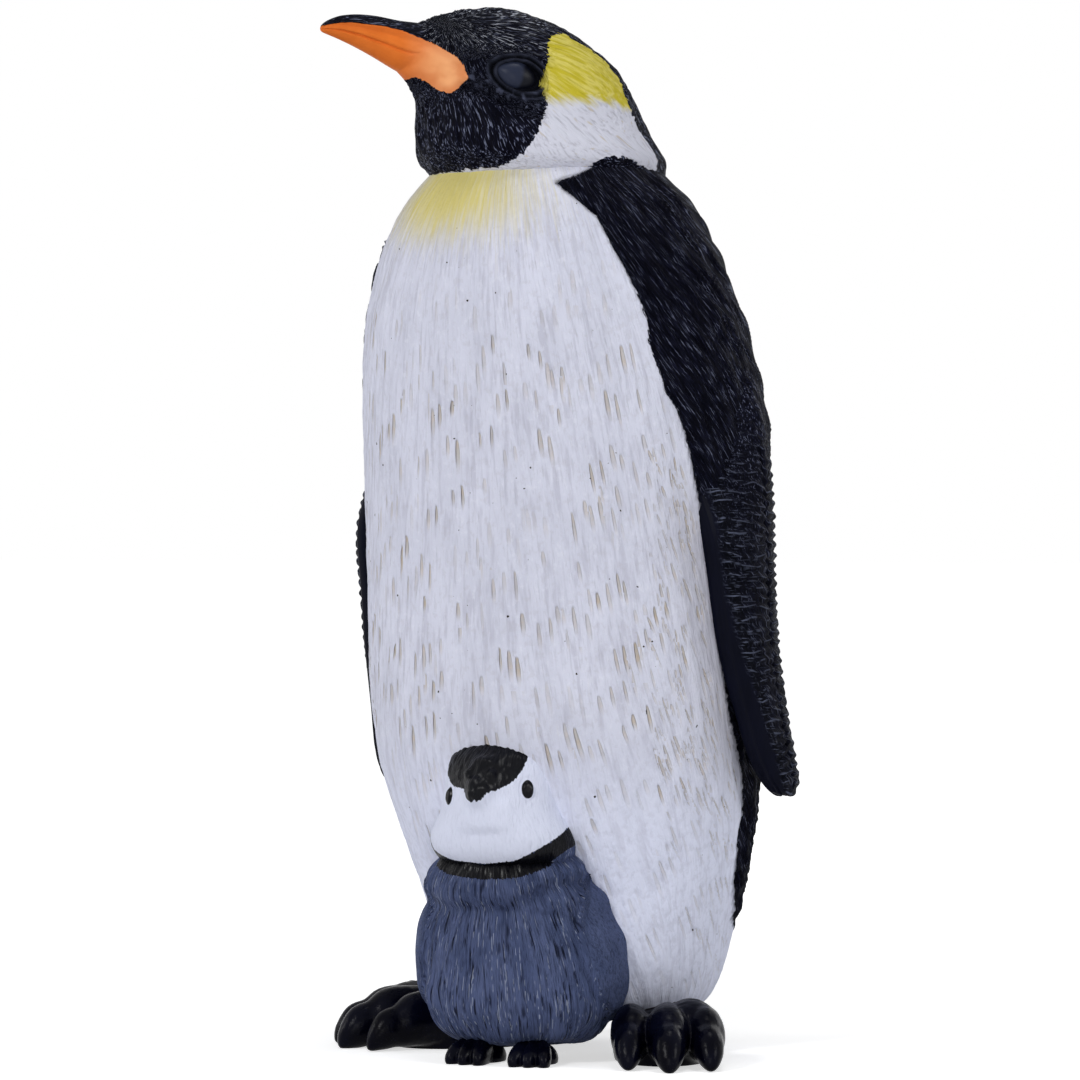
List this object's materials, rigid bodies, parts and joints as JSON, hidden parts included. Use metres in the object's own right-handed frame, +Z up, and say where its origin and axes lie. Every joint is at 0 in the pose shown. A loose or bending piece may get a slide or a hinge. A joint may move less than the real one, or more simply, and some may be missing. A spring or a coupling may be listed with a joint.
{
  "type": "penguin figurine",
  "caption": "Standing adult penguin figurine with its head turned and a chick between its feet, painted hollow vinyl with glued-on flippers, feet and tail.",
  "frame": {"origin": "on the floor under the middle of the figure's bounding box", "axes": "+Z up, the adult faces -Y, its left side is +X"},
  "size_m": [0.1122, 0.0974, 0.2395],
  "materials": {
    "coat_paint": "satin hand-painted soft vinyl, white belly and black back",
    "head_paint": "satin hand-painted soft vinyl, black with white and yellow neck patches",
    "beak_paint": "satin paint, orange with a black ridge",
    "flipper_paint": "satin black paint",
    "foot_paint": "gloss black paint",
    "chick_paint": "satin grey paint with a black collar",
    "chick_face_paint": "satin white paint with a black cap"
  },
  "bodies": {
    "root": {"torso_shell": "coat_paint", "head_shell": "head_paint", "beak": "beak_paint", "left_flipper": "flipper_paint", "right_flipper": "flipper_paint", "left_foot": "foot_paint", "right_foot": "foot_paint", "tail": "flipper_paint", "chick_body": "chick_paint", "chick_head": "chick_face_paint", "chick_left_foot": "foot_paint", "chick_right_foot": "foot_paint"}
  },
  "joints": []
}
